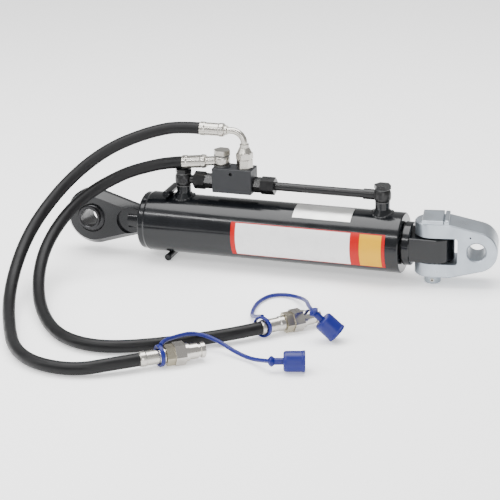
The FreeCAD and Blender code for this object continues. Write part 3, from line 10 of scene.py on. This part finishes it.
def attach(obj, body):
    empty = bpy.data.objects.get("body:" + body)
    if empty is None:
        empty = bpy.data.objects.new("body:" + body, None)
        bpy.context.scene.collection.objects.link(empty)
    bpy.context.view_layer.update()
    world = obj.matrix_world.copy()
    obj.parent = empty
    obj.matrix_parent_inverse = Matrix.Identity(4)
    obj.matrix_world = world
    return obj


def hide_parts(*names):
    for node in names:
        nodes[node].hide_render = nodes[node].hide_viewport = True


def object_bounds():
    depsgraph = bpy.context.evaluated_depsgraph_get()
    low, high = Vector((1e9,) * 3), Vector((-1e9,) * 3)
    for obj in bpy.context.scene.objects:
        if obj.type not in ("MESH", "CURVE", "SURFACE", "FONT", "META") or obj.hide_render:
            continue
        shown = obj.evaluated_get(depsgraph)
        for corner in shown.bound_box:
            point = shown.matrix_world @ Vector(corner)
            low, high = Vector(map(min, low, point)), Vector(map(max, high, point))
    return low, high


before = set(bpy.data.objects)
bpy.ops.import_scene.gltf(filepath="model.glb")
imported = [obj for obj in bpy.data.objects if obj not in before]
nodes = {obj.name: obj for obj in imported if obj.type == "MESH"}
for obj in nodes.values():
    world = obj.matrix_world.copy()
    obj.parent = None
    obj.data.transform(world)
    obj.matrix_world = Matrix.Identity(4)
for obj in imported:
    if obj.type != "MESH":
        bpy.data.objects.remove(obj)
cad_low, cad_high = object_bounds()
scene = bpy.context.scene

# --- camera ---------------------------------------------------------------------------------
# A long lens in front of the part, a little to its right and above, turned slightly about its axis.
DISTANCE = 2.7418
azimuth, elevation, roll = math.radians(18.46), math.radians(20.04), math.radians(-1.13)
aim = Vector((0.2363, 0.0, -0.0323))
back = Vector((math.sin(azimuth) * math.cos(elevation),
               -math.cos(azimuth) * math.cos(elevation), math.sin(elevation)))
right = Vector((math.cos(azimuth), math.sin(azimuth), 0))
lens = bpy.data.cameras.new("studio_camera")
lens.lens = 138.4
lens.sensor_width = 36.0
lens.clip_end = 50.0
camera = bpy.data.objects.new("studio_camera", lens)
scene.collection.objects.link(camera)
axes = Matrix((right, back.cross(right), back)).transposed()
turned = axes @ Matrix.Rotation(roll, 3, "Z")
camera.matrix_world = Matrix.Translation(aim + back * DISTANCE) @ turned.to_4x4()
scene.camera = camera

# --- floor and light ---------------------------------------------------------------------------
# A pale seamless floor with a large soft lamp overhead, two fills and a narrow strip in front.
FLOOR_HALF = 6.0
FLOOR_GAP = 0.0005
floor_mesh = bpy.data.meshes.new("studio_floor")
sheet = bmesh.new()
bmesh.ops.create_grid(sheet, x_segments=1, y_segments=1, size=FLOOR_HALF)
bmesh.ops.translate(sheet, vec=(0.2, 0.0, cad_low.z - FLOOR_GAP), verts=sheet.verts)
sheet.to_mesh(floor_mesh)
sheet.free()
floor = bpy.data.objects.new("studio_floor", floor_mesh)
scene.collection.objects.link(floor)
floor_paint = bpy.data.materials.new("pale floor")
floor_paint.use_nodes = True
floor_shader = floor_paint.node_tree.nodes["Principled BSDF"]
floor_shader.inputs["Base Color"].default_value = (0.97, 0.97, 0.97, 1)
floor_shader.inputs["Roughness"].default_value = 0.9
floor_shader.inputs["Specular IOR Level"].default_value = 0.1
floor_shader.inputs["Emission Color"].default_value = (1, 1, 1, 1)
floor_shader.inputs["Emission Strength"].default_value = 0.55
floor_mesh.materials.append(floor_paint)

world = bpy.data.worlds.new("studio air")
world.use_nodes = True
world.node_tree.nodes["Background"].inputs["Color"].default_value = (1.0, 1.0, 1.0, 1)
world.node_tree.nodes["Background"].inputs["Strength"].default_value = 0.62
scene.world = world
lamps_aim = Vector((0.22, -0.1, 0))
for name, place, size, power in (("lamp_over", (0.1, 0.1, 1.9), (2.4, 1.6), 92),
                                 ("lamp_front", (1.4, -2.4, 0.7), (1.2, 1.2), 22),
                                 ("lamp_left", (-1.6, -0.9, 0.8), (0.5, 1.2), 8),
                                 ("lamp_strip", (-0.26, -1.14, 1.02), (1.8, 0.07), 14)):
    lamp_data = bpy.data.lights.new(name, "AREA")
    lamp_data.shape = "RECTANGLE"
    lamp_data.size, lamp_data.size_y = size
    lamp_data.energy = power
    lamp = bpy.data.objects.new(name, lamp_data)
    scene.collection.objects.link(lamp)
    lamp.location = place
    lamp.rotation_mode = "QUATERNION"
    lamp.rotation_quaternion = (Vector(place) - lamps_aim).to_track_quat("Z", "Y")

# --- hoses -----------------------------------------------------------------------------------------
# Two rubber hydraulic hoses leave the silver fittings on the valve block, drop in front of the
# cylinder and lie on the floor up to their crimped couplers.


def soft_group(name, inputs, outputs):
    """A shader group with the named sockets and nothing between them: the group and its two ends."""
    group = bpy.data.node_groups.new(name, "ShaderNodeTree")
    for label, kind, value in inputs:
        socket = group.interface.new_socket(label, in_out="INPUT", socket_type=kind)
        socket.default_value = value
    for label, kind in outputs:
        group.interface.new_socket(label, in_out="OUTPUT", socket_type=kind)
    return group, group.nodes.new("NodeGroupInput"), group.nodes.new("NodeGroupOutput")


# Mottle: slow drift between two shades, with a fine grain that also lifts the surface
mottle, mottle_in, mottle_out = soft_group(
    "mottle",
    (("Shade A", "NodeSocketColor", (0.5, 0.5, 0.5, 1)), ("Shade B", "NodeSocketColor", (0.4, 0.4, 0.4, 1)),
     ("Patch Scale", "NodeSocketFloat", 40.0), ("Grain Scale", "NodeSocketFloat", 900.0),
     ("Rough Low", "NodeSocketFloat", 0.3), ("Rough High", "NodeSocketFloat", 0.5)),
    (("Colour", "NodeSocketColor"), ("Roughness", "NodeSocketFloat"), ("Height", "NodeSocketFloat")))
tree = mottle.nodes
place_in = tree.new("ShaderNodeTexCoord")
patch = tree.new("ShaderNodeTexNoise")
patch.inputs["Detail"].default_value = 4.0
grain = tree.new("ShaderNodeTexNoise")
grain.inputs["Detail"].default_value = 2.0
shades = tree.new("ShaderNodeMix")
shades.data_type = "RGBA"
level = tree.new("ShaderNodeMapRange")
level.inputs["From Min"].default_value = 0.3
level.inputs["From Max"].default_value = 0.7
for texture, scale in ((patch, "Patch Scale"), (grain, "Grain Scale")):
    mottle.links.new(place_in.outputs["Object"], texture.inputs["Vector"])
    mottle.links.new(mottle_in.outputs[scale], texture.inputs["Scale"])
mottle.links.new(patch.outputs["Fac"], shades.inputs["Factor"])
mottle.links.new(mottle_in.outputs["Shade A"], shades.inputs["A"])
mottle.links.new(mottle_in.outputs["Shade B"], shades.inputs["B"])
mottle.links.new(patch.outputs["Fac"], level.inputs["Value"])
mottle.links.new(mottle_in.outputs["Rough Low"], level.inputs["To Min"])
mottle.links.new(mottle_in.outputs["Rough High"], level.inputs["To Max"])
mottle.links.new(shades.outputs["Result"], mottle_out.inputs["Colour"])
mottle.links.new(level.outputs["Result"], mottle_out.inputs["Roughness"])
mottle.links.new(grain.outputs["Fac"], mottle_out.inputs["Height"])


def finish_of(name, shade_a, shade_b, rough, patch_scale=40.0, grain_scale=900.0, metallic=0.0,
              relief=0.15, depth=0.0002, coat=0.0, gloss=0.5):
    """A material on the mottle group: two shades, a roughness span and a raised grain."""
    material = bpy.data.materials.new(name)
    material.use_nodes = True
    graph = material.node_tree
    shader = graph.nodes["Principled BSDF"]
    shader.inputs["Metallic"].default_value = metallic
    shader.inputs["Coat Weight"].default_value = coat
    shader.inputs["Specular IOR Level"].default_value = gloss
    shader.inputs["Coat Roughness"].default_value = 0.08
    skin = graph.nodes.new("ShaderNodeGroup")
    skin.node_tree = mottle
    skin.name = "skin"
    skin.inputs["Shade A"].default_value = (*shade_a, 1)
    skin.inputs["Shade B"].default_value = (*shade_b, 1)
    skin.inputs["Patch Scale"].default_value = patch_scale
    skin.inputs["Grain Scale"].default_value = grain_scale
    skin.inputs["Rough Low"].default_value, skin.inputs["Rough High"].default_value = rough
    bump = graph.nodes.new("ShaderNodeBump")
    bump.name = "relief"
    bump.inputs["Strength"].default_value = relief
    bump.inputs["Distance"].default_value = depth
    graph.links.new(skin.outputs["Colour"], shader.inputs["Base Color"])
    graph.links.new(skin.outputs["Roughness"], shader.inputs["Roughness"])
    graph.links.new(skin.outputs["Height"], bump.inputs["Height"])
    graph.links.new(bump.outputs["Normal"], shader.inputs["Normal"])
    return material


def dress(material, *names):
    """Give CAD nodes their finish."""
    for name in names:
        for place in nodes[name].material_slots:
            place.material = material


def cord_curve(name, route, radius, material):
    """A smooth round cord along a route in metres."""
    curve = bpy.data.curves.new(name, "CURVE")
    curve.dimensions = "3D"
    curve.bevel_depth = radius
    curve.bevel_resolution = 8
    curve.resolution_u = 12
    curve.use_fill_caps = True
    line = curve.splines.new("NURBS")
    line.points.add(len(route) - 1)
    for point, spot in zip(line.points, route):
        point.co = (*spot, 1)
    line.order_u = 3
    line.use_endpoint_u = True
    curve.materials.append(material)
    cord = bpy.data.objects.new(name, curve)
    scene.collection.objects.link(cord)
    return cord


hose_rubber = finish_of("hose rubber", (0.004, 0.004, 0.0045), (0.008, 0.008, 0.0085), (0.36, 0.48), 60,
                        1500, gloss=0.2)
HOSE_R = 0.0085
hose_1_route = [
    (0.16650, 0, 0.14320), (0.13250, 0, 0.14320), (0.101, -0.006, 0.1365), (0.073, -0.016, 0.1275),
    (0.047, -0.028, 0.1165), (0.022, -0.043, 0.101), (-0.001, -0.064, 0.081), (-0.020, -0.092, 0.058),
    (-0.035, -0.133, 0.029), (-0.038, -0.176, 0.003), (-0.030, -0.227, -0.021), (-0.013, -0.278, -0.037),
    (0.014, -0.334, -0.0436), (0.0437, -0.388, -0.0436), (0.076, -0.422, -0.0436), (0.1145, -0.4385, -0.0436),
    (0.156, -0.437, -0.0436), (0.190844, -0.419279, -0.0395), (0.22, -0.3965, -0.0395)]
hose_2_route = [
    (0.138727, 0, 0.091388), (0.114901, 0, 0.088505), (0.086, -0.009, 0.0825), (0.061, -0.020, 0.0755),
    (0.040, -0.034, 0.066), (0.022, -0.049, 0.056), (0.005, -0.069, 0.043), (-0.007, -0.093, 0.028),
    (-0.014, -0.122, 0.011), (-0.014, -0.156, -0.006), (-0.005, -0.195, -0.023), (0.015, -0.242, -0.0375),
    (0.046, -0.292, -0.0436), (0.080, -0.333, -0.0436), (0.112, -0.354, -0.0436), (0.146, -0.3615, -0.0436),
    (0.180, -0.355, -0.0436), (0.222, -0.334, -0.0436), (0.265, -0.306, -0.0436),
    (0.309492, -0.282896, -0.0395), (0.3345, -0.257, -0.0395)]
for mark, route, real, ends in (
        ("1", hose_1_route, 0.775, ["coupler_body_1", "coupler_poppet_1", "coupler_spring_1"]),
        ("2", hose_2_route, 0.762, ["coupler_body_2", "coupler_poppet_2", "coupler_spring_2"])):
    hose = cord_curve(f"hose_cover_{mark}", route, HOSE_R, hose_rubber)
    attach(hose, "barrel")
    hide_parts(f"hose_{mark}")
    on_it = [nodes[name] for name in ends]
    if mark == "1":
        on_it += [nodes["coupler_tails"], nodes["coupler_nuts"]]

# --- tethers and dust caps --------------------------------------------------------------------------
# Each coupler has a soft royal blue vinyl cap. A thin round strap, moulded in one with the cap,
# ends in a loop that sits on the coupler's tail.
blue_vinyl = finish_of("blue vinyl", (0.002, 0.005, 0.115), (0.003, 0.008, 0.15), (0.34, 0.46), 50, 1200,
                       relief=0.08, gloss=0.35)
TETHER_R = 0.0027
tether_1_route = [
    (0.2413, -0.3759, -0.0258), (0.2383, -0.3599, -0.0268), (0.249, -0.335, -0.029), (0.261, -0.316, -0.031),
    (0.279, -0.311, -0.035), (0.298, -0.314, -0.040), (0.318, -0.324, -0.045), (0.338, -0.333, -0.048),
    (0.353, -0.341, -0.047), (0.366, -0.350, -0.043), (0.379, -0.3588, -0.039)]
tether_2_route = [
    (0.3346, -0.2498, -0.0263), (0.324, -0.234, -0.034), (0.312, -0.216, -0.042), (0.302, -0.196, -0.0499),
    (0.296, -0.168, -0.0499), (0.296, -0.140, -0.0499), (0.305, -0.117, -0.0499), (0.324, -0.110, -0.0499),
    (0.345, -0.122, -0.047), (0.361, -0.146, -0.040), (0.374, -0.178, -0.030), (0.386, -0.213, -0.020),
    (0.4012, -0.2457, -0.0132)]
for mark, route, real in (("1", tether_1_route, 0.193), ("2", tether_2_route, 0.327)):
    tether = cord_curve(f"cap_tether_{mark}", route, TETHER_R, blue_vinyl)
    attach(tether, "barrel")
    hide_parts(f"tether_{mark}")
dress(blue_vinyl, "dust_cap_1", "dust_cap_2", "tether_loops")

# --- barrel, eye, ports and gland -------------------------------------------------------------------
# Welded steel, sprayed with one coat of gloss anthracite enamel after assembly.
enamel = finish_of("anthracite enamel", (0.003, 0.0035, 0.0045), (0.005, 0.006, 0.0075), (0.14, 0.24), 30,
                   260, relief=0.12, depth=0.0003, coat=0.15, gloss=0.3)
dress(enamel, "cylinder_tube", "base_cap", "eye_housing", "port_bosses", "hanger_bars", "gland")

# --- weld beads -------------------------------------------------------------------------------------------
# Rippled fillet welds round both port bosses and round the stub of the eye, under the enamel.
TUBE_R = 0.0425
BEAD_SIDES = 10
SLOW_WAVES = 3
SLOW_SHARE = 0.5
RIPPLE = 0.16


def bead(name, spots, up, radius, waves):
    """A closed rippled bead along a loop of spots."""
    shape = bmesh.new()
    rings = []
    count = len(spots)
    for index, spot in enumerate(spots):
        along = (spots[(index + 1) % count] - spots[index - 1]).normalized()
        side = along.cross(up).normalized()
        lift = side.cross(along)
        ripple = (math.sin(2 * math.pi * waves * index / count)
                  + SLOW_SHARE * math.sin(2 * math.pi * SLOW_WAVES * index / count))
        size = radius * (1 + RIPPLE * ripple)
        rings.append([shape.verts.new(spot + size * (math.cos(turn) * side + math.sin(turn) * lift))
                      for turn in (2 * math.pi * step / BEAD_SIDES for step in range(BEAD_SIDES))])
    for index in range(count):
        first, second = rings[index], rings[(index + 1) % count]
        for step in range(BEAD_SIDES):
            after = (step + 1) % BEAD_SIDES
            face = shape.faces.new((first[step], first[after], second[after], second[step]))
            face.smooth = True
    bmesh.ops.recalc_face_normals(shape, faces=shape.faces)
    mesh = bpy.data.meshes.new(name)
    shape.to_mesh(mesh)
    shape.free()
    mesh.materials.append(enamel)
    piece = bpy.data.objects.new(name, mesh)
    scene.collection.objects.link(piece)
    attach(piece, "barrel")


# A boss flares towards its foot, so its weld lies where that flare meets the tube.
FLARE_R, FLARE_FOOT, FLARE_HEIGHT, FLARE_NARROWS = 0.018, 0.038, 0.0095, 0.0077
PORT_SPOTS, EYE_SPOTS = 144, 120
STUB_END_X, STUB_WELD_R = 0.0782, 0.0152
for name, port_x in (("weld_base_port", 0.139), ("weld_rod_port", 0.4305)):
    loop = []
    for step in range(PORT_SPOTS):
        turn = 2 * math.pi * step / PORT_SPOTS
        reach = 0.015
        for _ in range(6):
            level = math.sqrt(TUBE_R ** 2 - (reach * math.sin(turn)) ** 2)
            reach = FLARE_R - (level - FLARE_FOOT) / FLARE_HEIGHT * FLARE_NARROWS
        loop.append(Vector((port_x + reach * math.cos(turn), reach * math.sin(turn), level)))
    bead(name, loop, Vector((0, 0, 1)), 0.0017, 22)
stub_loop = [Vector((STUB_END_X, STUB_WELD_R * math.cos(turn), STUB_WELD_R * math.sin(turn)))
             for turn in (2 * math.pi * step / EYE_SPOTS for step in range(EYE_SPOTS))]
bead("weld_eye", stub_loop, Vector((1, 0, 0)), 0.0034, 9)

# --- pipe line ----------------------------------------------------------------------------------------
# Black plated fittings: two banjos on the ports, two pipes, their nuts and the block's adapters.
black_plate = finish_of("black fitting", (0.004, 0.004, 0.0045), (0.008, 0.008, 0.0085), (0.26, 0.4), 120,
                        1400, coat=0.1, gloss=0.3)
dress(black_plate, "banjo_base", "banjo_rod", "banjo_bolts", "pipe_base", "pipe_rod", "tube_nuts",
      "block_adapters")
seal_ring = finish_of("bonded washer", (0.05, 0.05, 0.05), (0.08, 0.08, 0.08), (0.4, 0.5), metallic=0.6)
dress(seal_ring, "banjo_washers", "hose_banjo_washers")

# --- valve block ---------------------------------------------------------------------------------------
# A milled steel block with a satin dark phosphate skin; it holds the pilot check valves.
phosphate = finish_of("phosphate", (0.010, 0.011, 0.013), (0.018, 0.019, 0.022), (0.38, 0.55), 45, 1600,
                      gloss=0.35)
dress(phosphate, "valve_block")

# --- silver hose fittings and couplers -----------------------------------------------------------------
# Bright zinc-plated steel. The coupler nuts are a shade yellower and the coupler bodies are nickelled.
zinc = finish_of("bright zinc", (0.52, 0.50, 0.46), (0.40, 0.385, 0.35), (0.2, 0.34), 30, 1500, metallic=1.0,
                 relief=0.03)
yellow_zinc = finish_of("yellowish zinc", (0.50, 0.46, 0.36), (0.36, 0.33, 0.255), (0.22, 0.34), 30, 1500,
                        metallic=1.0, relief=0.03)
nickel = finish_of("nickel plate", (0.58, 0.56, 0.52), (0.46, 0.44, 0.41), (0.14, 0.24), 30, 1500,
                   metallic=1.0, relief=0.03)
dress(zinc, "hose_banjo", "hose_banjo_bolt", "elbow_adapter", "swivel_nut", "elbow_tube", "hose_ferrule_1",
      "hose_ferrule_2", "coupler_tails", "roll_pin")
dress(yellow_zinc, "coupler_nuts")
dress(nickel, "coupler_body_1", "coupler_body_2")

# --- fork, pin and rod end -------------------------------------------------------------------------------
# The forged fork and its pin are blue-white zinc plated. The rod end is enamelled like the barrel.
blue_zinc = finish_of("blue-white zinc", (0.42, 0.46, 0.50), (0.30, 0.335, 0.375), (0.26, 0.46), 46, 1100,
                      metallic=0.9)
dress(blue_zinc, "fork", "fork_pin")
dress(enamel, "rod_end")

# --- ball, rod and inner parts ---------------------------------------------------------------------------
# Turned ball in oiled black, ground chrome rod, and the seals, bands, valves and springs inside.
ball_steel = finish_of("oiled black steel", (0.022, 0.022, 0.024), (0.045, 0.045, 0.047), (0.18, 0.34), 70,
                       1300, metallic=0.7)
dress(ball_steel, "eye_ball")
chrome = finish_of("hard chrome", (0.80, 0.80, 0.82), (0.76, 0.76, 0.78), (0.06, 0.10), 40, 900, metallic=1.0)
dress(chrome, "piston_rod")
turned_steel = finish_of("turned steel", (0.50, 0.49, 0.47), (0.42, 0.41, 0.40), (0.25, 0.4), metallic=1.0)
dress(turned_steel, "piston", "piston_nut", "pilot_piston", "check_poppet_base", "check_poppet_rod",
      "check_seats", "check_springs", "cutting_rings", "coupler_poppet_1", "coupler_poppet_2",
      "coupler_spring_1", "coupler_spring_2")
bronze = finish_of("sintered bronze", (0.45, 0.27, 0.10), (0.36, 0.21, 0.08), (0.35, 0.5), metallic=1.0)
dress(bronze, "pin_bush")
dress(finish_of("seal rubber", (0.01, 0.014, 0.03), (0.014, 0.018, 0.036), (0.4, 0.5)),
      "wiper_seal", "rod_seal", "gland_oring", "piston_seal")
dress(finish_of("guide resin", (0.16, 0.06, 0.03), (0.2, 0.08, 0.04), (0.5, 0.6)),
      "gland_guide_ring", "piston_guide_bands")

# --- panels on the barrel ----------------------------------------------------------------------------------
# Thin adhesive film on the front of the tube: a pale field in a red frame with a yellow end.
# It is bare of print. A thin blank aluminium plate sits above it.
FILM_SINK = 0.0001
ROW_LENGTH = 0.012
STEP_DEG = 3


def film(name, x_from, x_to, low, high, rise, material):
    """A sheet bent round the tube between two stations and two angles above the front."""
    mesh = bpy.data.meshes.new(name)
    shape = bmesh.new()
    rows, steps = max(2, int((x_to - x_from) / ROW_LENGTH)), max(3, int(abs(high - low) / STEP_DEG))
    for radius in (TUBE_R - FILM_SINK, TUBE_R + rise):
        for row in range(rows + 1):
            along = x_from + (x_to - x_from) * row / rows
            for step in range(steps + 1):
                turn = math.radians(low + (high - low) * step / steps)
                shape.verts.new((along, -radius * math.cos(turn), radius * math.sin(turn)))
    shape.verts.ensure_lookup_table()
    layer = (rows + 1) * (steps + 1)
    for base in (0, layer):
        for row in range(rows):
            for step in range(steps):
                first = base + row * (steps + 1) + step
                corners = [first, first + 1, first + steps + 2, first + steps + 1]
                shape.faces.new([shape.verts[index] for index in corners])
    rim = [edge for edge in shape.edges if edge.is_boundary]
    lower = [edge for edge in rim if edge.verts[0].index < layer]
    upper = [edge for edge in rim if edge.verts[0].index >= layer]
    bmesh.ops.bridge_loops(shape, edges=lower + upper)
    bmesh.ops.recalc_face_normals(shape, faces=shape.faces)
    shape.to_mesh(mesh)
    shape.free()
    mesh.materials.append(material)
    piece = bpy.data.objects.new(name, mesh)
    scene.collection.objects.link(piece)
    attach(piece, "barrel")


pale_film = finish_of("pale film", (0.74, 0.74, 0.74), (0.80, 0.80, 0.80), (0.25, 0.32), 60, 300,
                      relief=0.05)
red_film = finish_of("red film", (0.38, 0.001, 0.001), (0.42, 0.002, 0.002), (0.3, 0.4), 60, 300, relief=0.05,
                     gloss=0.25)
yellow_film = finish_of("yellow film", (0.60, 0.31, 0.0), (0.64, 0.34, 0.001), (0.3, 0.4), 60, 300,
                        relief=0.05, gloss=0.25)
film("label_frame", 0.2215, 0.4440, -40, 31, 0.00012, red_film)
film("label_field", 0.2285, 0.3945, -38, 29, 0.00022, pale_film)
film("label_end", 0.4080, 0.4390, -38, 29, 0.00022, yellow_film)
plate_metal = finish_of("plate aluminium", (0.62, 0.62, 0.61), (0.54, 0.54, 0.53), (0.3, 0.42), 60, 700,
                        metallic=0.9)
film("blank_plate", 0.3080, 0.3915, 50, 92, 0.0006, plate_metal)
